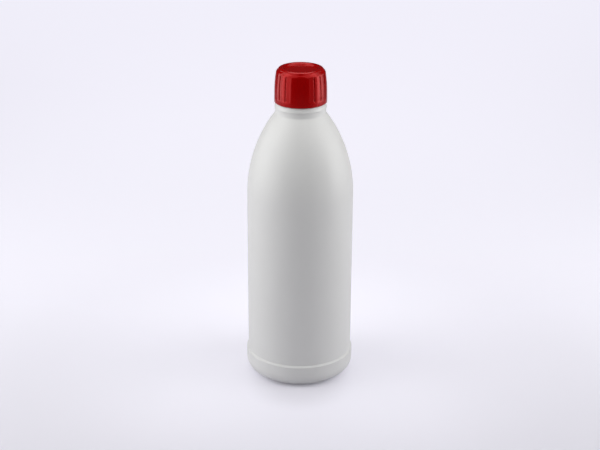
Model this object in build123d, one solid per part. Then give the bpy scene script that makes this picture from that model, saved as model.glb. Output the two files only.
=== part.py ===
from build123d import *
import math
import os

# A narrow mouth plastic bottle for half a litre: the blow-moulded bottle, its screw cap and the
# foam liner inside the cap. Millimetres, +Z up, the origin on the axis at the standing plane.

# Bottle body
PANEL_RADIUS = 34.0  # straight label panel
BAND_RADIUS = 35.0  # base band, which stands proud of the panel
BAND_HEIGHT = 15.7  # from the standing plane to the foot of the panel
LEDGE_FALL = 1.1  # height that the sloping ledge on top of the band loses
LEDGE_ROUND = 0.6  # both corners of the ledge
HEEL_RADIUS = 8.0  # rounding between the band and the base
STANDING_RING_WIDTH = 2.6  # flat ring that the bottle stands on
RING_ROUND = 1.5  # inner corner of the standing ring
PUSH_UP = 4.5  # rise of the base above the standing plane
PANEL_HEIGHT = 107.8  # straight wall between the band and the shoulder
SHOULDER_RADIUS = 89.5  # the shoulder's one long arc, tangent to the panel
BODY_WALL = 1.1

# Pinch-off seam under the base, in the mould's parting plane, which is XZ
SEAM_LENGTH = 38.0
SEAM_WIDTH = 1.2
SEAM_HEIGHT = 0.4

# Neck below the cap
NECK_RADIUS = 16.1
NECK_LENGTH = 3.4  # plain wall between the shoulder and the collar
NECK_WALL = 1.6
NECK_FOOT_ROUND = 2.0
COLLAR_PROUD = 0.4  # how far the collar's lower edge stands out of the neck
COLLAR_TAPER = 0.65  # how much smaller the collar is at its top
COLLAR_HEIGHT = 3.3
COLLAR_ROUND = 0.25

# Screw finish of the neck
FINISH_HEIGHT = 18.0  # from the top of the collar to the sealing land
FINISH_RADIUS = 13.0  # wall between the threads
FINISH_FOOT_ROUND = 0.6
BORE_RADIUS = 11.0
BORE_RUN_IN = 4.6  # height of the cone between the neck's inside and the bore
LAND_ROUND = 0.4

# Screw thread, right-handed, six turns to the inch
THREAD_PITCH = 25.4 / 6
THREAD_HEIGHT = 1.2  # of the bottle's thread, from wall to crest
THREAD_CREST_WIDTH = 1.0
FLANK_SLOPE = 0.58  # axial run of a flank for each millimetre of height
THREAD_TURNS = 1.5
THREAD_START = 1.3  # from the sealing land to the upper edge of the thread
THREAD_FADE = 24.0  # degrees over which the end of a thread runs out
THREAD_ROOT = 0.25  # how far a thread's section reaches into its wall

# Cap
CAP_HEIGHT = 21.8
CAP_RADIUS = 16.58
SKIRT_GAP = 0.3  # between the collar and the cap's lower edge
SKIRT_STRAIGHT = 5.5  # straight part of the cap's side, above its lower edge
SIDE_ARC_RADIUS = 89.0  # the barrel curve of the cap's side above that
EDGE_ROUND = 0.2  # lower outer edge of the cap
CAP_SHOULDER_DROP = 0.95  # from the crown of the rim to the inner edge of the shoulder
CAP_SHOULDER_FALL = 1.1  # from there to the shoulder's outer corner, before it is rounded
CAP_SHOULDER_ROUND = 3.5
DISH_RADIUS = 10.5
DISH_DEPTH = 1.35
DISH_SLOPE = 0.6  # radial run of the wall of the dish
DISH_ROUND = 0.4
RIM_WIDTH = 3.4  # rounded rim round the dish
RIM_EDGE_DROP = 0.55  # from the crown of the rim to its two edges
VALLEY_WIDTH = 0.2  # outer side of the valley between the rim and the shoulder

# Cap thread and its clearances in the bottle's thread
ROOT_CLEARANCE = 0.3  # between the bottle's thread crest and the cap's wall
CREST_CLEARANCE = 0.25  # between the cap's thread crest and the neck
FLANK_CLEARANCE = 0.12  # axial, between the flanks that carry the load
CAP_CREST_WIDTH = 0.8
CAP_THREAD_TURNS = 1.5
CAP_THREAD_LEAD = 0.5  # turns by which the cap's thread starts below the bottle's
LEAD_IN = 0.5  # chamfer at the mouth of the cap

# Gripping ribs: groups of narrow grooves, with plain panels between the groups
GROOVE_GROUPS = 3
WIDE_RIBS = 3  # in each group, with a narrow rib on each side of them
WIDE_RIB_ANGLE = 18.0
EDGE_RIB_ANGLE = 9.0
GROOVE_WIDTH = 1.0
GROOVE_DEPTH = 0.5
GROOVE_FOOT = 3.1  # plain band below the grooves
GROOVE_LENGTH = 15.9
CAP_CLOCKING = -2.0  # where the tightened cap stops, turned about +Z

# Foam liner
LINER_THICKNESS = 1.2
LINER_SIDE_GAP = 0.2  # to the cap's inner wall
FACE_GAP = 0.05  # between the liner and the faces above and below it
RETAINER_HEIGHT = 0.7  # bead that holds the liner in the cap
RETAINER_DROP = 0.15  # from the liner's underside to the bead
RETAINER_GRIP = 0.2  # how far the bead reaches under the liner

FRONT = -90.0  # direction of the front, in degrees from +X
REACH = 5.0  # how far a cutting solid runs past what it cuts


def arc_height(radius, arc_radius, end_radius, end_height):
    """Height at which an upright-tangent arc ending at (end_radius, end_height) has a radius."""
    inward = end_radius - arc_radius
    return end_height + math.sqrt(arc_radius**2 - (radius - inward) ** 2)


def arc_reach(height, arc_radius, end_radius, end_height):
    """Radius of the same arc at a height."""
    return end_radius - arc_radius + math.sqrt(arc_radius**2 - (height - end_height) ** 2)


# Levels and radii that follow from the sizes
panel_top = BAND_HEIGHT + PANEL_HEIGHT
neck_foot = arc_height(NECK_RADIUS, SHOULDER_RADIUS, PANEL_RADIUS, panel_top)
collar_base = neck_foot + NECK_LENGTH
collar_top = collar_base + COLLAR_HEIGHT
land = collar_top + FINISH_HEIGHT
ring_inner = BAND_RADIUS - HEEL_RADIUS - STANDING_RING_WIDTH
collar_radius = NECK_RADIUS + COLLAR_PROUD

thread_crest = FINISH_RADIUS + THREAD_HEIGHT
thread_half_root = THREAD_CREST_WIDTH / 2 + FLANK_SLOPE * THREAD_HEIGHT
thread_base = land - THREAD_START - thread_half_root - THREAD_TURNS * THREAD_PITCH
cap_bore = thread_crest + ROOT_CLEARANCE
cap_thread_height = cap_bore - FINISH_RADIUS - CREST_CLEARANCE
flank_distance = thread_half_root + CAP_CREST_WIDTH / 2 - FLANK_SLOPE * CREST_CLEARANCE
cap_thread_base = (
    thread_base - flank_distance - FLANK_CLEARANCE - CAP_THREAD_LEAD * THREAD_PITCH
)

liner_base = land + FACE_GAP
liner_radius = cap_bore - LINER_SIDE_GAP
ceiling = liner_base + LINER_THICKNESS + FACE_GAP
cap_base = collar_top + SKIRT_GAP
cap_top = cap_base + CAP_HEIGHT
side_arc_foot = cap_base + SKIRT_STRAIGHT
groove_base = cap_base + GROOVE_FOOT
groove_top = groove_base + GROOVE_LENGTH


def side_arc(arc_radius, end_radius, foot, top):
    """Upright-tangent arc from (end_radius, foot) up to a height, curving inward."""
    middle = (foot + top) / 2
    return ThreePointArc(
        (end_radius, foot),
        (arc_reach(middle, arc_radius, end_radius, foot), middle),
        (arc_reach(top, arc_radius, end_radius, foot), top),
    )


def half_section(*curves):
    """Face on the XZ plane inside a closed run of curves drawn as (radius, height)."""
    return Plane.XZ * make_face(Curve() + list(curves))


def rounded(section, *corners):
    """Rounds corners of a section, each given as (radius, height, rounding)."""
    for radius, height, rounding in corners:
        corner = section.vertices().sort_by_distance((radius, 0, height))[0]
        section = fillet(corner, rounding)
    return section


def polar(radius, angle):
    """Point at a radius and an angle in degrees."""
    return (radius * math.cos(math.radians(angle)), radius * math.sin(math.radians(angle)))


def thread(wall, height, crest_width, turns, base, start_turn):
    """Right-handed ridge on a wall; a negative height points inwards, as in a cap."""
    half_crest = crest_width / 2
    half_root = half_crest + FLANK_SLOPE * (abs(height) + THREAD_ROOT)
    root = -math.copysign(THREAD_ROOT, height)
    path = Helix(pitch=THREAD_PITCH, height=turns * THREAD_PITCH, radius=wall)
    outline = Polyline(
        (root, -half_root), (height, -half_crest), (height, half_crest), (root, half_root), close=True
    )
    section = Plane(origin=path @ 0, x_dir=(1, 0, 0), z_dir=path % 0) * make_face(outline)
    ridge = Part() + sweep(section, path=path, is_frenet=True)
    # Each end runs out to the wall along a chord.
    beyond = wall + height + math.copysign(REACH, height)
    for end_turn, inward in ((0, 1), (turns, -1)):
        chord = Polyline(
            (wall, 0),
            polar(wall + height, inward * THREAD_FADE),
            polar(beyond, inward * THREAD_FADE),
            polar(beyond, -inward * THREAD_FADE),
            polar(wall, -inward * THREAD_FADE),
            close=True,
        )
        cutter = extrude(make_face(chord), amount=THREAD_PITCH / 2, both=True)
        ridge -= Pos(0, 0, end_turn * THREAD_PITCH) * Rot(0, 0, 360 * end_turn) * cutter
    return Pos(0, 0, base) * Rot(0, 0, 360 * start_turn) * ridge


def bottle_outside():
    """Solid inside the bottle's outer faces, without the thread."""
    dome = ThreePointArc((-ring_inner, 0), (0, PUSH_UP), (ring_inner, 0))
    middle = dome @ 0.75
    section = half_section(
        ThreePointArc((0, PUSH_UP), middle, (ring_inner, 0)),
        Polyline(
            (ring_inner, 0),
            (BAND_RADIUS, 0),
            (BAND_RADIUS, BAND_HEIGHT - LEDGE_FALL),
            (PANEL_RADIUS, BAND_HEIGHT),
            (PANEL_RADIUS, panel_top),
        ),
        side_arc(SHOULDER_RADIUS, PANEL_RADIUS, panel_top, neck_foot),
        Polyline(
            (NECK_RADIUS, neck_foot),
            (NECK_RADIUS, collar_base),
            (collar_radius, collar_base),
            (collar_radius - COLLAR_TAPER, collar_top),
            (FINISH_RADIUS, collar_top),
            (FINISH_RADIUS, land),
            (0, land),
            (0, PUSH_UP),
        ),
    )
    section = rounded(
        section,
        (ring_inner, 0, RING_ROUND),
        (BAND_RADIUS, 0, HEEL_RADIUS),
        (BAND_RADIUS, BAND_HEIGHT - LEDGE_FALL, LEDGE_ROUND),
        (PANEL_RADIUS, BAND_HEIGHT, LEDGE_ROUND),
        (NECK_RADIUS, neck_foot, NECK_FOOT_ROUND),
        (collar_radius, collar_base, COLLAR_ROUND),
        (collar_radius - COLLAR_TAPER, collar_top, COLLAR_ROUND),
        (FINISH_RADIUS, collar_top, FINISH_FOOT_ROUND),
        (FINISH_RADIUS, land, LAND_ROUND),
    )
    return revolve(section, Axis.Z)


def bottle_inside():
    """Solid of the bottle's hollow, which runs on past the mouth."""
    panel = PANEL_RADIUS - BODY_WALL
    band = BAND_RADIUS - BODY_WALL
    neck = NECK_RADIUS - NECK_WALL
    arc_radius = SHOULDER_RADIUS - BODY_WALL
    dome = ThreePointArc((-ring_inner, BODY_WALL), (0, PUSH_UP + BODY_WALL), (ring_inner, BODY_WALL))
    inner_foot = arc_height(neck, arc_radius, panel, panel_top)
    section = half_section(
        ThreePointArc((0, PUSH_UP + BODY_WALL), dome @ 0.75, (ring_inner, BODY_WALL)),
        Polyline(
            (ring_inner, BODY_WALL),
            (band, BODY_WALL),
            (band, BAND_HEIGHT - LEDGE_FALL),
            (panel, BAND_HEIGHT),
            (panel, panel_top),
        ),
        side_arc(arc_radius, panel, panel_top, inner_foot),
        Polyline(
            (neck, inner_foot),
            (neck, collar_base),
            (BORE_RADIUS, collar_base + BORE_RUN_IN),
            (BORE_RADIUS, land + REACH),
            (0, land + REACH),
            (0, PUSH_UP + BODY_WALL),
        ),
    )
    section = rounded(
        section,
        (ring_inner, BODY_WALL, RING_ROUND),
        (band, BODY_WALL, HEEL_RADIUS - BODY_WALL),
        (band, BAND_HEIGHT - LEDGE_FALL, LEDGE_ROUND),
        (panel, BAND_HEIGHT, LEDGE_ROUND),
        (neck, collar_base, NECK_FOOT_ROUND),
        (BORE_RADIUS, collar_base + BORE_RUN_IN, NECK_FOOT_ROUND),
    )
    return revolve(section, Axis.Z)


def make_bottle():
    """Blow-moulded shell with its neck finish, thread and pinch-off seam."""
    outside = bottle_outside()
    inside = bottle_inside()
    seam = Box(SEAM_LENGTH, SEAM_WIDTH, 2 * (PUSH_UP + BODY_WALL)) & Pos(0, 0, -SEAM_HEIGHT) * outside
    ridge = thread(FINISH_RADIUS, THREAD_HEIGHT, THREAD_CREST_WIDTH, THREAD_TURNS, thread_base, 0)
    return outside + seam + ridge - inside


def cap_outside():
    """Solid inside the cap's outer faces, without the grooves."""
    floor = cap_top - DISH_DEPTH
    shoulder = cap_top - CAP_SHOULDER_DROP
    corner = shoulder - CAP_SHOULDER_FALL
    rim_edge = cap_top - RIM_EDGE_DROP
    rim_middle = DISH_RADIUS + RIM_WIDTH / 2
    rim_outside = DISH_RADIUS + RIM_WIDTH
    corner_radius = arc_reach(corner, SIDE_ARC_RADIUS, CAP_RADIUS, side_arc_foot)
    section = half_section(
        Polyline((0, floor), (DISH_RADIUS - DISH_SLOPE, floor), (DISH_RADIUS, rim_edge)),
        ThreePointArc((DISH_RADIUS, rim_edge), (rim_middle, cap_top), (rim_outside, rim_edge)),
        Polyline(
            (rim_outside, rim_edge),
            (rim_outside + VALLEY_WIDTH, shoulder),
            (corner_radius, corner),
        ),
        side_arc(SIDE_ARC_RADIUS, CAP_RADIUS, side_arc_foot, corner),
        Polyline((CAP_RADIUS, side_arc_foot), (CAP_RADIUS, cap_base), (0, cap_base), (0, floor)),
    )
    section = rounded(
        section,
        (DISH_RADIUS - DISH_SLOPE, floor, DISH_ROUND),
        (corner_radius, corner, CAP_SHOULDER_ROUND),
        (CAP_RADIUS, cap_base, EDGE_ROUND),
    )
    return revolve(section, Axis.Z)


def cap_inside():
    """Solid of the cap's hollow, with the bead that holds the liner."""
    bead_top = liner_base - RETAINER_DROP
    section = half_section(
        Polyline(
            (0, ceiling),
            (cap_bore, ceiling),
            (cap_bore, bead_top),
            (liner_radius - RETAINER_GRIP, bead_top - RETAINER_HEIGHT / 2),
            (cap_bore, bead_top - RETAINER_HEIGHT),
            (cap_bore, cap_base + LEAD_IN),
            (cap_bore + LEAD_IN, cap_base),
            (cap_bore + LEAD_IN, cap_base - REACH),
            (0, cap_base - REACH),
            close=True,
        )
    )
    return revolve(section, Axis.Z)


def grooves():
    """Grooves of all the rib groups, each as deep as the others along the cap's side."""
    floor_radius = CAP_RADIUS - GROOVE_DEPTH
    floor_arc = SIDE_ARC_RADIUS - GROOVE_DEPTH
    outer = CAP_RADIUS + REACH
    floor_top = arc_reach(groove_top, floor_arc, floor_radius, side_arc_foot)
    section = half_section(
        Line((floor_radius, groove_base), (floor_radius, side_arc_foot)),
        side_arc(floor_arc, floor_radius, side_arc_foot, groove_top),
        Polyline(
            (floor_top, groove_top),
            (outer, groove_top),
            (outer, groove_base),
            (floor_radius, groove_base),
        ),
    )
    ring = revolve(section, Axis.Z)
    slot = Pos(outer / 2, 0, 0) * Box(outer, GROOVE_WIDTH, 2 * cap_top)
    wide = [WIDE_RIB_ANGLE * (i - WIDE_RIBS / 2) for i in range(WIDE_RIBS + 1)]
    places = [wide[0] - EDGE_RIB_ANGLE, *wide, wide[-1] + EDGE_RIB_ANGLE]
    slots = Part()
    for group in range(GROOVE_GROUPS):
        centre = FRONT + CAP_CLOCKING + 360 / GROOVE_GROUPS * (group + 0.5)
        for place in places:
            slots += Rot(0, 0, centre + place) * slot
    return ring & slots


def make_cap():
    """Injection-moulded screw cap."""
    ridge = thread(
        cap_bore,
        -cap_thread_height,
        CAP_CREST_WIDTH,
        CAP_THREAD_TURNS,
        cap_thread_base,
        -CAP_THREAD_LEAD,
    )
    return cap_outside() - cap_inside() - grooves() + ridge


def make_liner():
    """Foam disc that seals on the land."""
    return Pos(0, 0, liner_base + LINER_THICKNESS / 2) * Cylinder(liner_radius, LINER_THICKNESS)


os.makedirs("parts", exist_ok=True)
for name, make in (("bottle", make_bottle), ("cap", make_cap), ("liner", make_liner)):
    export_step(make(), f"parts/{name}.step")
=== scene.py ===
import math

import bpy
import numpy as np
from mathutils import Matrix, Vector


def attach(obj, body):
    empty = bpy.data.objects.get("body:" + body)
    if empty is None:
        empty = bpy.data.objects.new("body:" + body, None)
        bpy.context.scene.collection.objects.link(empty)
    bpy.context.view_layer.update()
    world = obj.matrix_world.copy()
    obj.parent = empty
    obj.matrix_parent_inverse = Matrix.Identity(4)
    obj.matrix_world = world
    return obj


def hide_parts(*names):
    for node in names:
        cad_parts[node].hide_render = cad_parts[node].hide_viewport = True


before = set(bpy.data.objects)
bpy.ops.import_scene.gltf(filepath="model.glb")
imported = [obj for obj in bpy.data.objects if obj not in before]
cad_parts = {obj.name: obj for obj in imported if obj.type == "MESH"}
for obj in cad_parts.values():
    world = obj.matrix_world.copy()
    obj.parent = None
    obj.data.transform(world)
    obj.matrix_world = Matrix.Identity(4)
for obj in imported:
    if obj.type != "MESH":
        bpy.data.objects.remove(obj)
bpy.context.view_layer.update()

# The bottle
# One shell of white polyethylene, blown in a two-part mould that closes on the XZ plane. The base
# is pushed up inside a flat standing ring, a band stands proud round the foot of the label panel,
# and one long arc leads to the neck with its collar and screw finish. Sizes are in millimetres.
MM = 0.001
PANEL_RADIUS = 34.0
BAND_RADIUS = 35.0
BAND_HEIGHT = 15.7
LEDGE_FALL = 1.1
LEDGE_ROUND = 0.4
HEEL_RADIUS = 8.0
RING_WIDTH = 2.6
RING_ROUND = 1.5
PUSH_UP = 4.5
PANEL_TOP = 123.5
SHOULDER_RADIUS = 89.5
BODY_WALL = 1.1
NECK_RADIUS = 16.1
NECK_LENGTH = 3.4
NECK_WALL = 1.6
NECK_FOOT_ROUND = 2.0
COLLAR_PROUD = 0.4
COLLAR_TAPER = 0.65
COLLAR_HEIGHT = 3.3
COLLAR_ROUND = 0.25
COLLAR_FOOT_ROUND = 0.15
FINISH_HEIGHT = 18.0
FINISH_RADIUS = 13.0
FINISH_FOOT_ROUND = 0.6
BORE_RADIUS = 11.0
BORE_RUN_IN = 4.6
LAND_ROUND = 0.4
THREAD_PITCH = 25.4 / 6
THREAD_TURNS = 1.5
THREAD_START = 0
THREAD_HEIGHT = 1.2
THREAD_CREST_WIDTH = 1.0
THREAD_FLANK_RUN = 0.7
THREAD_FADE = 24.0
THREAD_DROP = 1.3
SEAM_LENGTH = 38.0
SEAM_WIDTH = 1.2
SEAM_HEIGHT = 0.4
SEAM_SINK = 0.03
SEAM_END = 0.01
SEAM_COLUMNS = 9
SEAM_ROWS = 41
BOTTLE_COLUMNS = 192
DOME_STEPS = 10
INSIDE_DOME_STEPS = 6
SHOULDER_STEPS = 36
THREAD_ROW_STEP = 0.2


def eased(corners, steps=6):
    """Profile through corners of (radius, height, rounding), each rounding drawn as an arc."""
    path = []
    for i, (radius, height, rounding) in enumerate(corners):
        corner = np.array((radius, height))
        if rounding == 0:
            path.append(corner)
            continue
        back = np.array(corners[i - 1][:2]) - corner
        onward = np.array(corners[i + 1][:2]) - corner
        back /= np.linalg.norm(back)
        onward /= np.linalg.norm(onward)
        half_angle = math.acos(float(back @ onward)) / 2
        middle = (back + onward) / np.linalg.norm(back + onward)
        centre = corner + middle * rounding / math.sin(half_angle)
        start = corner + back * rounding / math.tan(half_angle) - centre
        end = corner + onward * rounding / math.tan(half_angle) - centre
        turn = math.pi - 2 * half_angle
        for share in np.linspace(0, 1, steps + 1):
            path.append(
                centre
                + start * math.sin((1 - share) * turn) / math.sin(turn)
                + end * math.sin(share * turn) / math.sin(turn)
            )
    return path


def held(path, long_run=3.0, margin=0.35):
    """The path with a point near each end of its long runs, so that they shade as flat."""
    out = [path[0]]
    for a, b in zip(path, path[1:]):
        run = b - a
        length = np.linalg.norm(run)
        if length > long_run:
            out.append(a + run * margin / length)
            out.append(b - run * margin / length)
        out.append(b)
    return out


def arc_points(centre, radius, first_angle, last_angle, steps):
    """Corners without rounding along an arc about a (radius, height) centre, in degrees."""
    return [
        (centre[0] + radius * math.cos(math.radians(a)), centre[1] + radius * math.sin(math.radians(a)), 0)
        for a in np.linspace(first_angle, last_angle, steps + 1)
    ]


def dome_points(edge_radius, edge_height, rise, steps):
    """Corners along the shallow dome of the push-up, from the axis out to its edge."""
    sphere = (edge_radius**2 + rise**2) / (2 * rise)
    reach = math.degrees(math.asin(edge_radius / sphere))
    return arc_points((0, edge_height + rise - sphere), sphere, 90, 90 - reach, steps)


def thread_ridge(angles, height, base, first_angle, turns, rise, crest_width, flank_run):
    """How far a right-handed thread stands out of its wall at one height, for each angle."""
    along = (angles - math.radians(first_angle)) / (2 * math.pi) % 1.0
    ridge = np.zeros_like(angles)
    for lap in range(math.ceil(turns)):
        turn = along + lap
        distance = np.abs(height - base - turn * THREAD_PITCH)
        flank = np.clip((crest_width / 2 + flank_run - distance) / flank_run, 0, 1)
        run_out = np.clip(np.minimum(turn, turns - turn) * 360 / THREAD_FADE, 0, 1)
        ridge = np.maximum(ridge, rise * flank**2 * (3 - 2 * flank) * np.sin(run_out * math.pi / 2))
    return ridge


def turned_mesh(name, angles, rings):
    """Mesh of rings, each (radii, height) over the same angles; a ring of radius 0 is one point."""
    count = len(angles)
    vertices, rows = [], []
    for radii, height in rings:
        start = len(vertices)
        if np.isscalar(radii) and radii < 1e-6:
            vertices.append((0, 0, height * MM))
            rows.append([start])
            continue
        radii = np.broadcast_to(radii, angles.shape) * MM
        vertices.extend(zip(radii * np.cos(angles), radii * np.sin(angles), [height * MM] * count))
        rows.append(list(range(start, start + count)))
    faces = []
    for low, high in zip(rows, rows[1:]):
        for i in range(count):
            j = (i + 1) % count
            if len(low) == 1:
                faces.append((low[0], high[j], high[i]))
            elif len(high) == 1:
                faces.append((low[i], low[j], high[0]))
            else:
                faces.append((low[i], low[j], high[j], high[i]))
    mesh = bpy.data.meshes.new(name)
    mesh.from_pydata(vertices, [], faces)
    mesh.shade_smooth()
    return mesh


shoulder_centre = (PANEL_RADIUS - SHOULDER_RADIUS, PANEL_TOP)
shoulder_turn = math.acos((NECK_RADIUS - shoulder_centre[0]) / SHOULDER_RADIUS)
NECK_FOOT = PANEL_TOP + SHOULDER_RADIUS * math.sin(shoulder_turn)
COLLAR_BASE = NECK_FOOT + NECK_LENGTH
COLLAR_TOP = COLLAR_BASE + COLLAR_HEIGHT
LAND = COLLAR_TOP + FINISH_HEIGHT
collar_radius = NECK_RADIUS + COLLAR_PROUD
ring_inner = BAND_RADIUS - HEEL_RADIUS - RING_WIDTH

outside_foot = eased(
    [
        *dome_points(ring_inner, 0, PUSH_UP, DOME_STEPS)[:-1],
        (ring_inner, 0, RING_ROUND),
        (BAND_RADIUS, 0, HEEL_RADIUS),
        (BAND_RADIUS, BAND_HEIGHT - LEDGE_FALL, LEDGE_ROUND),
        (PANEL_RADIUS, BAND_HEIGHT, LEDGE_ROUND),
        *arc_points(shoulder_centre, SHOULDER_RADIUS, 0, math.degrees(shoulder_turn), SHOULDER_STEPS)[:-1],
        (NECK_RADIUS, NECK_FOOT, NECK_FOOT_ROUND),
        (NECK_RADIUS, COLLAR_BASE, COLLAR_FOOT_ROUND),
        (collar_radius, COLLAR_BASE, COLLAR_ROUND),
        (collar_radius - COLLAR_TAPER, COLLAR_TOP, COLLAR_ROUND),
        (FINISH_RADIUS, COLLAR_TOP, FINISH_FOOT_ROUND),
        (FINISH_RADIUS, LAND, 0),
    ]
)[:-1]
outside_top = eased(
    [
        (FINISH_RADIUS, COLLAR_TOP, 0),
        (FINISH_RADIUS, LAND, LAND_ROUND),
        (BORE_RADIUS, LAND, LAND_ROUND),
        (BORE_RADIUS, COLLAR_BASE + BORE_RUN_IN, NECK_FOOT_ROUND),
        (NECK_RADIUS - NECK_WALL, COLLAR_BASE, NECK_FOOT_ROUND),
        *arc_points(
            shoulder_centre,
            SHOULDER_RADIUS - BODY_WALL,
            math.degrees(shoulder_turn),
            0,
            SHOULDER_STEPS // 2,
        )[1:],
        (PANEL_RADIUS - BODY_WALL, BAND_HEIGHT, LEDGE_ROUND),
        (BAND_RADIUS - BODY_WALL, BAND_HEIGHT - LEDGE_FALL, LEDGE_ROUND),
        (BAND_RADIUS - BODY_WALL, BODY_WALL, HEEL_RADIUS - BODY_WALL),
        (ring_inner, BODY_WALL, RING_ROUND),
        *reversed(dome_points(ring_inner, BODY_WALL, PUSH_UP, INSIDE_DOME_STEPS)[:-1]),
    ]
)[1:]
thread_rows = np.arange(outside_foot[-1][1] + THREAD_ROW_STEP, outside_top[0][1], THREAD_ROW_STEP)
thread_top = LAND - THREAD_DROP - THREAD_CREST_WIDTH / 2 - THREAD_FLANK_RUN
thread_base = thread_top - THREAD_TURNS * THREAD_PITCH
bottle_angles = np.linspace(0, 2 * math.pi, BOTTLE_COLUMNS, endpoint=False)
bottle_rings = [(float(radius), float(height)) for radius, height in held(outside_foot)]
for row in thread_rows:
    ridge = thread_ridge(
        bottle_angles,
        row,
        thread_base,
        THREAD_START,
        THREAD_TURNS,
        THREAD_HEIGHT,
        THREAD_CREST_WIDTH,
        THREAD_FLANK_RUN,
    )
    bottle_rings.append((FINISH_RADIUS + ridge, float(row)))
bottle_rings += [(float(radius), float(height)) for radius, height in held(outside_top)]
bottle_mesh = turned_mesh("bottle_shell", bottle_angles, bottle_rings)
bottle_shell = bpy.data.objects.new("bottle_shell", bottle_mesh)
bpy.context.collection.objects.link(bottle_shell)

# The pinch-off seam is a low rounded ridge across the push-up, where the mould closed on the tube.
push_up_sphere = (ring_inner**2 + PUSH_UP**2) / (2 * PUSH_UP)
seam_across = np.linspace(0, math.pi, SEAM_COLUMNS)
seam_turns = np.linspace(-math.pi / 2, math.pi / 2, SEAM_ROWS)
seam_stations = np.sin(seam_turns) * (SEAM_LENGTH / 2 - SEAM_END)
seam_vertices = []
for x in seam_stations:
    run_out = math.sqrt(min(1.0, (SEAM_LENGTH / 2 - abs(x)) / SEAM_WIDTH))
    for turn in seam_across:
        y = math.cos(turn) * SEAM_WIDTH / 2 * run_out
        skin = PUSH_UP - push_up_sphere + math.sqrt(push_up_sphere**2 - x**2 - y**2)
        z = skin + SEAM_SINK - (SEAM_HEIGHT + SEAM_SINK) * math.sin(turn) * run_out
        seam_vertices.append((x * MM, y * MM, z * MM))
seam_faces = []
for i in range(len(seam_stations) - 1):
    for j in range(len(seam_across) - 1):
        first = i * len(seam_across) + j
        second = first + len(seam_across)
        seam_faces.append((first, second, second + 1, first + 1))
seam_mesh = bpy.data.meshes.new("pinch_off_seam")
seam_mesh.from_pydata(seam_vertices, [], seam_faces)
seam_mesh.shade_smooth()
pinch_off_seam = bpy.data.objects.new("pinch_off_seam", seam_mesh)
bpy.context.collection.objects.link(pinch_off_seam)


def new_finish(name, roughness):
    """A material with its shader, and a function that adds a node to it."""
    material = bpy.data.materials.new(name)
    material.use_nodes = True
    tree = material.node_tree
    shader = tree.nodes["Principled BSDF"]
    shader.inputs["Roughness"].default_value = roughness

    def add(kind, inputs=None, **settings):
        node = tree.nodes.new(kind)
        for key, value in settings.items():
            setattr(node, key, value)
        for key, value in (inputs or {}).items():
            if isinstance(value, bpy.types.NodeSocket):
                tree.links.new(value, node.inputs[key])
            else:
                node.inputs[key].default_value = value
        return node

    return material, tree, shader, add


def noise(add, place, scale, detail=2.0):
    """Noise texture output at a number of features per metre."""
    node = add("ShaderNodeTexNoise", {"Vector": place, "Scale": scale, "Detail": detail})
    return node.outputs["Fac"]


def spread(add, value, low, high, out_low=0.0, out_high=1.0):
    """Value mapped from one range to another, smoothly and with its ends held."""
    node = add(
        "ShaderNodeMapRange",
        {"Value": value, "From Min": low, "From Max": high, "To Min": out_low, "To Max": out_high},
        interpolation_type="SMOOTHSTEP",
    )
    return node.outputs["Result"]


def blended(add, share, first, second):
    """Colour between two colours."""
    node = add(
        "ShaderNodeMix",
        {0: share, 6: (*first, 1), 7: (*second, 1)},
        data_type="RGBA",
    )
    return node.outputs[2]


def raised(add, height, depth, strength=1.0, under=None):
    """Bump output of a height between 0 and 1, on top of another bump."""
    inputs = {"Height": height, "Distance": depth, "Strength": strength}
    if under is not None:
        inputs["Normal"] = under
    return add("ShaderNodeBump", inputs).outputs["Normal"]


# In the finishes, scales are in features to the metre, and depths and edges are in metres.
WHITE = (0.674, 0.675, 0.662)
WHITE_SHADED = (0.649, 0.65, 0.638)
WHITE_MOTTLE = 45
MATT_MOTTLE = 220
MATT = (0.36, 0.46)
MIDDLE_OF_NOISE = (0.3, 0.7)
PARTING_EDGE = (0.00005, 0.00025)
PARTING_DEPTH = 0.00006
GRAIN_SCALE = 1400
GRAIN_DEPTH = 0.00002

bottle_finish, tree, shader, add = new_finish("bottle_polyethylene", 0.4)
place = add("ShaderNodeTexCoord").outputs["Object"]
white = blended(add, noise(add, place, WHITE_MOTTLE), WHITE, WHITE_SHADED)
tree.links.new(white, shader.inputs["Base Color"])
matt = spread(add, noise(add, place, MATT_MOTTLE), *MIDDLE_OF_NOISE, *MATT)
tree.links.new(matt, shader.inputs["Roughness"])
axes = add("ShaderNodeSeparateXYZ", {0: place})
off_seam = add("ShaderNodeMath", {0: axes.outputs["Y"]}, operation="ABSOLUTE").outputs[0]
parting_line = spread(add, off_seam, *PARTING_EDGE, 1.0, 0.0)
grain = raised(add, noise(add, place, GRAIN_SCALE, 3.0), GRAIN_DEPTH, 0.5)
relief = raised(add, parting_line, PARTING_DEPTH, 0.8, under=grain)
tree.links.new(relief, shader.inputs["Normal"])
bottle_shell.data.materials.append(bottle_finish)
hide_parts("bottle")
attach(bottle_shell, "bottle")
pinch_off_seam.data.materials.append(bottle_finish)
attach(pinch_off_seam, "bottle")

# The liner
# A disc of white closed-cell foam, punched from sheet and pressed up into the cap past a bead. Its
# own shape is right as it comes from the frame, so it only gets its finish.
FOAM_WHITE = (0.86, 0.86, 0.84)
FOAM_CELL = (0.74, 0.74, 0.72)
CELLS_PER_METRE = 2500.0
CELL_DEPTH = 0.0001

foam, tree, shader, add = new_finish("liner_foam", 0.85)
place = add("ShaderNodeTexCoord").outputs["Object"]
cells = add("ShaderNodeTexVoronoi", {"Vector": place, "Scale": CELLS_PER_METRE}).outputs["Distance"]
tree.links.new(blended(add, cells, FOAM_WHITE, FOAM_CELL), shader.inputs["Base Color"])
tree.links.new(raised(add, cells, CELL_DEPTH, 0.6), shader.inputs["Normal"])
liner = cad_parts["liner"]
liner.data.materials.clear()
liner.data.materials.append(foam)

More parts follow.
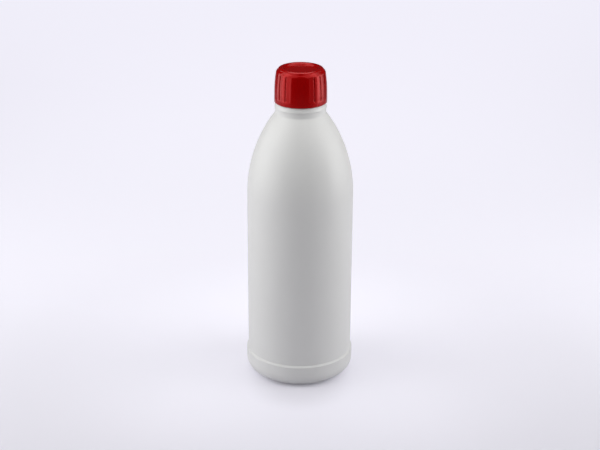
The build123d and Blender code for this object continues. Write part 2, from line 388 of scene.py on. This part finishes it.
# The cap
# A screw cap of glossy red polypropylene, moulded in one piece. Its barrel side has three groups of
# narrow grooves that leave soft ribs between them, its top has a rounded rim about a flat dish, and
# inside are the thread and the bead that holds the liner.
COLLAR_GAP = 0.3
CAP_HEIGHT = 21.8
CAP_BASE = COLLAR_TOP + COLLAR_GAP
CAP_TOP = CAP_BASE + CAP_HEIGHT
CAP_RADIUS = 16.58
STRAIGHT_SIDE = 5.5
SIDE_ARC_FOOT = CAP_BASE + STRAIGHT_SIDE
SIDE_ARC_RADIUS = 89.0
EDGE_ROUND = 0.2
SHOULDER_DROP = 0.95
SHOULDER_FALL = 1.1
SHOULDER_ROUND = 3.5
DISH_RADIUS = 10.5
DISH_DEPTH = 1.35
DISH_SLOPE = 0.6
DISH_ROUND = 0.4
RIM_WIDTH = 3.4
RIM_EDGE_DROP = 0.55
VALLEY_WIDTH = 0.2
VALLEY_ROUND = 0.12
RIM_FOOT_ROUND = 0.08
RIM_INNER_ROUND = 0.2
SHOULDER_LEAD = 1.5
SHOULDER_POINTS = 9
RIM_STEPS = 10
ROUNDING_STEPS = 12
CAP_BORE = 14.5
CEILING_GAP = 1.3
CEILING = LAND + CEILING_GAP
BEAD_DROP = 0.1
BEAD_TOP = LAND - BEAD_DROP
BEAD_HEIGHT = 0.7
BEAD_RADIUS = 14.1
BEAD_ROUND = 0.15
BEAD_FOOT_ROUND = 0.1
CEILING_ROUND = 0.3
LEAD_IN = 0.5
LEAD_IN_ROUND = 0.2
FOOT_ROUND = 0.1
THREAD_CLEAR = 3.0
CAP_THREAD_HEIGHT = 1.25
CAP_CREST_WIDTH = 0.8
CAP_THREAD_FALL = 3.68
CAP_THREAD_START = 180
GROOVE_GROUPS = 3
GROOVE_PLACES = (-36.0, -27.0, -9.0, 9.0, 27.0, 36.0)
GROOVE_DEPTH = 0.5
END_GROOVE_DEPTH = 0.1
GROOVE_DEPTHS = (END_GROOVE_DEPTH, *[GROOVE_DEPTH] * 4, END_GROOVE_DEPTH)
GROOVE_FLAT = 0.30
GROOVE_REACH = 0.62
PLAIN_BAND = 3.1
GROOVE_LENGTH = 15.9
GROOVE_FOOT = CAP_BASE + PLAIN_BAND
GROOVE_TOP = GROOVE_FOOT + GROOVE_LENGTH
GROOVE_END = 0.7
GROOVE_END_ROWS = 6
SIDE_ROW_STEP = 0.7
ROW_GAP = 0.1
ROWS_STOP = 1.3
PLAIN_ROW_DROP = 0.5
RIB_CROWN = 0.14
GROOVE_COLUMNS = (0.15, 0.30, 0.38, 0.46, 0.54, 0.62, 0.8)
COLUMN_STEP = 3.2
PAD_BORDER = 39.7
PAD_SINK = 0.1
BORDER_WIDTH = 0.15
FRONT = -90.0
CLOCKING = -2.0
GROUP_TURN = 360 / GROOVE_GROUPS

group_centres = [FRONT + CLOCKING + GROUP_TURN * (group + 0.5) for group in range(GROOVE_GROUPS)]
groove_angles = np.radians([centre + place for centre in group_centres for place in GROOVE_PLACES])
border_angles = np.radians([centre + side * PAD_BORDER for centre in group_centres for side in (-1, 1)])


def around(angle):
    """Angles folded into the half turn on each side of zero."""
    return (angle + math.pi) % (2 * math.pi) - math.pi


def cap_columns():
    """Angles of the cap's columns: close together across each groove, wider apart between them."""
    across = np.concatenate([-np.flip(GROOVE_COLUMNS), [0], GROOVE_COLUMNS])
    columns = [groove + across / CAP_RADIUS for groove in groove_angles]
    places = np.sort(groove_angles % (2 * math.pi))
    for low, high in zip(places, np.append(places[1:], places[0] + 2 * math.pi)):
        low, high = low - across[0] / CAP_RADIUS, high + across[0] / CAP_RADIUS
        steps = max(2, round((high - low) / math.radians(COLUMN_STEP)))
        columns.append(np.linspace(low, high, steps + 1)[1:-1])
    crease = np.array([-BORDER_WIDTH, 0.0, BORDER_WIDTH]) / CAP_RADIUS
    columns += [border + crease for border in border_angles]
    return np.sort(np.concatenate(columns) % (2 * math.pi))


def barrel_radius(height):
    """Radius at a height of the barrel curve that the cap's side follows."""
    above = max(0.0, height - SIDE_ARC_FOOT)
    return CAP_RADIUS - SIDE_ARC_RADIUS + math.sqrt(SIDE_ARC_RADIUS**2 - above**2)


def eased_step(value):
    """Smooth step of a value from 0 to 1."""
    value = np.clip(value, 0, 1)
    return value**2 * (3 - 2 * value)


def rib_relief(angles, height):
    """How far the side lies under its barrel surface: the grooves, crowned ribs and flat pads."""
    end = min(height - GROOVE_FOOT, GROOVE_TOP - height)
    if end <= 0:
        return np.zeros_like(angles)
    relief = np.zeros_like(angles)
    for centre in np.radians(group_centres):
        offset = np.degrees(around(angles - centre))
        for low, high in zip(GROOVE_PLACES[1:], GROOVE_PLACES[2:-1]):
            share = 2 * (offset - low) / (high - low) - 1
            relief = np.where(np.abs(share) <= 1, RIB_CROWN * share**2, relief)
        # The outer rib on each side of a group is a flat pad, which ends in a crease.
        share = 2 * (np.abs(offset) - GROOVE_PLACES[-2]) / (PAD_BORDER - GROOVE_PLACES[-2]) - 1
        relief = np.where(np.abs(share) <= 1, PAD_SINK * (1 - share**2), relief)
    apart = np.abs(around(angles[:, None] - groove_angles[None, :]))
    distance = np.min(apart, axis=1) * CAP_RADIUS
    depth = np.tile(GROOVE_DEPTHS, GROOVE_GROUPS)[np.argmin(apart, axis=1)]
    # The ends of a groove are rounded, so its floor narrows there.
    reach = GROOVE_REACH - GROOVE_FLAT
    narrow = GROOVE_FLAT * math.sqrt(max(0.0, 1 - max(0.0, 1 - end / GROOVE_END) ** 2))
    groove = depth * eased_step((narrow + reach - distance) / reach)
    fade = float(eased_step(end / GROOVE_END))
    return np.maximum(relief, groove) * fade


cap_angles = cap_columns()
inside = eased(
    [
        (0, CEILING, 0),
        (CAP_BORE, CEILING, CEILING_ROUND),
        (CAP_BORE, BEAD_TOP, BEAD_FOOT_ROUND),
        (BEAD_RADIUS, BEAD_TOP - BEAD_HEIGHT / 2, BEAD_ROUND),
        (CAP_BORE, BEAD_TOP - BEAD_HEIGHT, BEAD_FOOT_ROUND),
        (CAP_BORE, CAP_BASE, 0),
    ]
)[:-1]
lower_edge = eased(
    [
        (CAP_BORE, CAP_BASE + THREAD_CLEAR, 0),
        (CAP_BORE, CAP_BASE + LEAD_IN, LEAD_IN_ROUND),
        (CAP_BORE + LEAD_IN, CAP_BASE, FOOT_ROUND),
        (CAP_RADIUS, CAP_BASE, EDGE_ROUND),
        (CAP_RADIUS, GROOVE_FOOT, 0),
    ]
)[1:]
shoulder = CAP_TOP - SHOULDER_DROP
corner = shoulder - SHOULDER_FALL
rim_outside = DISH_RADIUS + RIM_WIDTH
rim_chord = RIM_WIDTH / 2
rim_sphere = (rim_chord**2 + RIM_EDGE_DROP**2) / (2 * RIM_EDGE_DROP)
rim_turn = math.degrees(math.asin(rim_chord / rim_sphere))
rim_centre = (DISH_RADIUS + rim_chord, CAP_TOP - rim_sphere)
rim_arc = arc_points(rim_centre, rim_sphere, 90 - rim_turn, 90 + rim_turn, RIM_STEPS)
side_top = corner - SHOULDER_LEAD
top = eased(
    [
        (barrel_radius(side_top), side_top, 0),
        (barrel_radius(corner), corner, SHOULDER_ROUND),
        (rim_outside + VALLEY_WIDTH, shoulder, VALLEY_ROUND),
        (rim_outside, CAP_TOP - RIM_EDGE_DROP, RIM_FOOT_ROUND),
        *rim_arc[1:-1],
        (DISH_RADIUS, CAP_TOP - RIM_EDGE_DROP, RIM_INNER_ROUND),
        (DISH_RADIUS - DISH_SLOPE, CAP_TOP - DISH_DEPTH, DISH_ROUND),
        (0, CAP_TOP - DISH_DEPTH, 0),
    ],
    steps=ROUNDING_STEPS,
)


def side_radius(height):
    """Radius of the cap's side at a height, with the first of its shoulder's rounding."""
    if height <= side_top:
        return barrel_radius(height)
    rounding = top[:SHOULDER_POINTS]
    return float(np.interp(height, [point[1] for point in rounding], [point[0] for point in rounding]))


cap_rings = [(float(radius), float(height)) for radius, height in held(inside)]
for row in np.arange(inside[-1][1] - THREAD_ROW_STEP, lower_edge[0][1] + ROW_GAP, -THREAD_ROW_STEP):
    ridge = thread_ridge(
        cap_angles,
        row,
        thread_base - CAP_THREAD_FALL,
        CAP_THREAD_START,
        THREAD_TURNS,
        CAP_THREAD_HEIGHT,
        CAP_CREST_WIDTH,
        THREAD_FLANK_RUN,
    )
    cap_rings.append((CAP_BORE - ridge, float(row)))
cap_rings += [(float(radius), float(height)) for radius, height in lower_edge[:-1]]
end_rows = np.linspace(0, GROOVE_END, GROOVE_END_ROWS)
side_rows = np.concatenate(
    [
        [GROOVE_FOOT - PLAIN_ROW_DROP],
        GROOVE_FOOT + end_rows,
        np.arange(GROOVE_FOOT + 2 * GROOVE_END, GROOVE_TOP - ROWS_STOP, SIDE_ROW_STEP),
        np.flip(GROOVE_TOP - end_rows),
    ]
)
for row in side_rows:
    cap_rings.append((side_radius(row) - rib_relief(cap_angles, row), float(row)))
above_grooves = [
    point for point in held(top) if point[1] > GROOVE_TOP + ROW_GAP or point[0] < rim_outside
]
cap_rings += [(float(radius), float(height)) for radius, height in above_grooves]
cap_shell = bpy.data.objects.new("cap_shell", turned_mesh("cap_shell", cap_angles, cap_rings))
bpy.context.collection.objects.link(cap_shell)

RED = (0.32, 0.001, 0.0013)
RED_DEEP = (0.3, 0.0009, 0.0012)
RED_GLINT = (1.0, 0.15, 0.15)
RED_MOTTLE = 90
GLOSS_MOTTLE = 200
GLOSS = (0.11, 0.14)
MOULD_WAVES = 250
MOULD_WAVE_DEPTH = 0.00001

cap_finish, tree, shader, add = new_finish("cap_polypropylene", 0.22)
shader.inputs["Metallic"].default_value = 0.08
shader.inputs["Specular IOR Level"].default_value = 0.8
shader.inputs["Specular Tint"].default_value = (*RED_GLINT, 1)
place = add("ShaderNodeTexCoord").outputs["Object"]
red = blended(add, noise(add, place, RED_MOTTLE), RED, RED_DEEP)
tree.links.new(red, shader.inputs["Base Color"])
gloss = spread(add, noise(add, place, GLOSS_MOTTLE), *MIDDLE_OF_NOISE, *GLOSS)
tree.links.new(gloss, shader.inputs["Roughness"])
waves = raised(add, noise(add, place, MOULD_WAVES), MOULD_WAVE_DEPTH, 0.3)
tree.links.new(waves, shader.inputs["Normal"])
cap_shell.data.materials.append(cap_finish)
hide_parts("cap")
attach(cap_shell, "cap")

# The floor
# A plain pale sheet of paper, far wider than the camera sees. It also glows a little, a painted light that
# keeps it pale away from the lamps: weaker in front and stronger towards the back, with a painted pool of
# light round the bottle and a painted contact shadow just in front of its foot, where it glows least. The
# camera sees that glow in full; the bottle gets a share of it, from the part near the bottle only.
FLOOR_COLOUR = (0.60, 0.59, 0.64)
FLOOR_COLOUR_SHADED = (0.59, 0.58, 0.63)
FLOOR_MOTTLE = 3
FLOOR_GLOW = (0.975, 0.96, 1.065)
# Painted light: the glow grows from the front of the floor towards the back.
GLOW_BY_DEPTH = (
    (-0.12, 0.1),
    (-0.05, 0.16),
    (0.0, 0.22),
    (0.1, 0.34),
    (0.26, 0.47),
    (0.6, 0.7),
    (1.2, 0.85),
)
# A painted pool of light: the glow is raised on the floor round the bottle.
PAINTED_LIGHT_ROUND_BOTTLE = 0.1
PAINTED_LIGHT_ROUND_REACH = (0.06, 0.2)
# A painted contact shadow: the glow dips in a soft patch just in front of the bottle's foot.
PAINTED_SHADOW_DIP = 0.16
PAINTED_SHADOW_PLACE = (0, -0.03, 0)
PAINTED_SHADOW_REACH = (0.008, 0.038)
GLOW_SIDE = (0.24, 0.42)
GLOW_SPREAD = 0.25
GLOW_OUTER = 0.92
OUTER_REACH = (0.24, 0.55)
FORWARD_LEAD = 0.1
GLOW_SHARE = 0.4
FLOOR_RADII = (6.0, 2.0, 0.5, 0.1)
FLOOR_DROP = 0.02
FLOOR_COLUMNS = 96

floor_angles = np.linspace(0, 2 * math.pi, FLOOR_COLUMNS, endpoint=False)
floor_rings = [(radius / MM, -FLOOR_DROP) for radius in (*FLOOR_RADII, 0)]
floor = bpy.data.objects.new("floor", turned_mesh("floor", floor_angles, floor_rings))
bpy.context.collection.objects.link(floor)
paper, tree, shader, add = new_finish("floor_paper", 0.9)
shader.inputs["Specular IOR Level"].default_value = 0.2
place = add("ShaderNodeTexCoord").outputs["Object"]
pale = blended(add, noise(add, place, FLOOR_MOTTLE), FLOOR_COLOUR, FLOOR_COLOUR_SHADED)
tree.links.new(pale, shader.inputs["Base Color"])
axes = add("ShaderNodeSeparateXYZ", {0: place})
first_depth, last_depth = GLOW_BY_DEPTH[0][0], GLOW_BY_DEPTH[-1][0]
depth = add(
    "ShaderNodeMapRange",
    {"Value": axes.outputs["Y"], "From Min": first_depth, "From Max": last_depth},
)
by_depth = add("ShaderNodeFloatCurve", {"Value": depth.outputs["Result"]})
curve = by_depth.mapping.curves[0]
curve.points[0].location = (0, GLOW_BY_DEPTH[0][1])
curve.points[-1].location = (1, GLOW_BY_DEPTH[-1][1])
for place_back, strength in GLOW_BY_DEPTH[1:-1]:
    curve.points.new((place_back - first_depth) / (last_depth - first_depth), strength)
by_depth.mapping.update()
# Painted pool of light: more glow close round the bottle.
away = add("ShaderNodeVectorMath", {0: place}, operation="LENGTH").outputs["Value"]
painted_light_near_bottle = spread(add, away, *PAINTED_LIGHT_ROUND_REACH, PAINTED_LIGHT_ROUND_BOTTLE, 0.0)
# Painted contact shadow: the glow is lowered in a soft patch just in front of the bottle's foot.
off_painted_shadow = add("ShaderNodeVectorMath", {0: place, 1: PAINTED_SHADOW_PLACE}, operation="DISTANCE")
painted_shadow = spread(add, off_painted_shadow.outputs["Value"], *PAINTED_SHADOW_REACH, -PAINTED_SHADOW_DIP, 0.0)
glow = add("ShaderNodeMath", {0: by_depth.outputs["Value"], 1: painted_light_near_bottle}, operation="ADD").outputs[0]
glow = add("ShaderNodeMath", {0: glow, 1: painted_shadow}, operation="ADD").outputs[0]
sideways = add("ShaderNodeMath", {0: axes.outputs["X"]}, operation="ABSOLUTE").outputs[0]
narrowed = add(
    "ShaderNodeMath", {0: axes.outputs["Y"], 1: -GLOW_SPREAD, 2: sideways}, operation="MULTIPLY_ADD"
).outputs[0]
lit_width = spread(add, narrowed, *GLOW_SIDE, GLOW_SHARE, 0.0)
lighting = add("ShaderNodeMath", {0: glow, 1: lit_width}, operation="MULTIPLY").outputs[0]
# Out to the sides and in front, where no lamp reaches, the camera sees a stronger glow.
forward = add(
    "ShaderNodeMath", {0: axes.outputs["Y"], 1: -1.0, 2: FORWARD_LEAD}, operation="MULTIPLY_ADD"
).outputs[0]
outward = add("ShaderNodeMath", {0: narrowed, 1: forward}, operation="MAXIMUM").outputs[0]
outer = spread(add, outward, *OUTER_REACH, 0.0, GLOW_OUTER)
looks = add("ShaderNodeMath", {0: glow, 1: outer}, operation="MAXIMUM").outputs[0]
seen = add("ShaderNodeLightPath").outputs["Is Camera Ray"]
glow = add("ShaderNodeMapRange", {"Value": seen, "To Min": lighting, "To Max": looks}).outputs["Result"]
tree.links.new(glow, shader.inputs["Emission Strength"])
shader.inputs["Emission Color"].default_value = (*FLOOR_GLOW, 1)
floor.data.materials.append(paper)

# The light
# Softboxes stand close round the bottle: a bank of upright panels on each side, one above each bank,
# one high over each front corner and one high behind. Nothing shines from straight in front, so the
# front stays darker. The camera doesn't see them.
AIM = Vector((0, 0, 0.1))


def softbox(name, azimuth, elevation, distance, width, height, radiance):
    """A rectangular light that faces the bottle, at degrees from the front and from the floor."""
    turn, rise = math.radians(azimuth), math.radians(elevation)
    toward = Vector((math.sin(turn) * math.cos(rise), -math.cos(turn) * math.cos(rise), math.sin(rise)))
    light = bpy.data.lights.new(name, "AREA")
    light.shape = "RECTANGLE"
    light.size = width
    light.size_y = height
    light.energy = radiance * math.pi * width * height
    lamp = bpy.data.objects.new(name, light)
    lamp.location = AIM + toward * distance
    lamp.rotation_mode = "QUATERNION"
    lamp.rotation_quaternion = (-toward).to_track_quat("-Z", "Y")
    lamp.visible_camera = False
    bpy.context.collection.objects.link(lamp)


# Five upright panels stand side by side on each side, brightest across from the cap's ribs.
PANEL_AZIMUTHS = (50, 66, 82, 98, 114)
LEFT_PANELS = (1.6, 2.0, 2.95, 1.55, 1.6)
RIGHT_PANELS = (0.3, 0.75, 3.7, 2.4, 0.95)
PANEL_ELEVATION = 8
PANEL_DISTANCE = 0.6
PANEL_WIDTH = 0.17
PANEL_HEIGHT = 0.36
for side, sign, radiances in (("left", -1, LEFT_PANELS), ("right", 1, RIGHT_PANELS)):
    for azimuth, radiance in zip(PANEL_AZIMUTHS, radiances):
        softbox(
            f"{side}_panel_{azimuth}",
            sign * azimuth,
            PANEL_ELEVATION,
            PANEL_DISTANCE,
            PANEL_WIDTH,
            PANEL_HEIGHT,
            radiance,
        )

softbox("left_near", -87.5, 48, 0.42, 0.3, 0.3, 1.6)
softbox("left_near_front", -55, 52, 0.45, 0.42, 0.42, 1.19)
softbox("right_near", 87.5, 48, 0.42, 0.3, 0.3, 1.2)
softbox("right_near_front", 55, 52, 0.45, 0.42, 0.42, 1.38)
softbox("top_back", 180, 65, 0.9, 0.5, 0.5, 2.3)

# The room is pale where it is seen, but hardly lights the bottle.
WORLD_COLOUR = (0.85, 0.84, 0.9)
WORLD_LIGHT = 0.03
world = bpy.data.worlds.new("studio")
world.use_nodes = True
background = world.node_tree.nodes["Background"]
background.inputs["Color"].default_value = (*WORLD_COLOUR, 1)
seen = world.node_tree.nodes.new("ShaderNodeLightPath").outputs["Is Camera Ray"]
room = world.node_tree.nodes.new("ShaderNodeMapRange")
room.inputs["To Min"].default_value = WORLD_LIGHT
world.node_tree.links.new(seen, room.inputs["Value"])
world.node_tree.links.new(room.outputs["Result"], background.inputs["Strength"])
bpy.context.scene.world = world
bpy.context.scene.view_settings.view_transform = "Standard"

# The camera
# It looks down on the bottle from the front, at the height and distance that the photograph's
# ellipses and widths give, and is rolled a little, as there.
CAMERA_DISTANCE = 0.8133
CAMERA_HEIGHT = 0.4267
CAMERA_PITCH = 21.844
CAMERA_ROLL = 0.32
LENS = 81.1
SENSOR = 36.0

camera_data = bpy.data.cameras.new("camera")
camera_data.sensor_width = SENSOR
camera_data.lens = LENS
camera = bpy.data.objects.new("camera", camera_data)
camera.matrix_world = (
    Matrix.Translation((0, -CAMERA_DISTANCE, CAMERA_HEIGHT))
    @ Matrix.Rotation(math.radians(90 - CAMERA_PITCH), 4, "X")
    @ Matrix.Rotation(math.radians(CAMERA_ROLL), 4, "Z")
)
bpy.context.collection.objects.link(camera)
bpy.context.scene.camera = camera
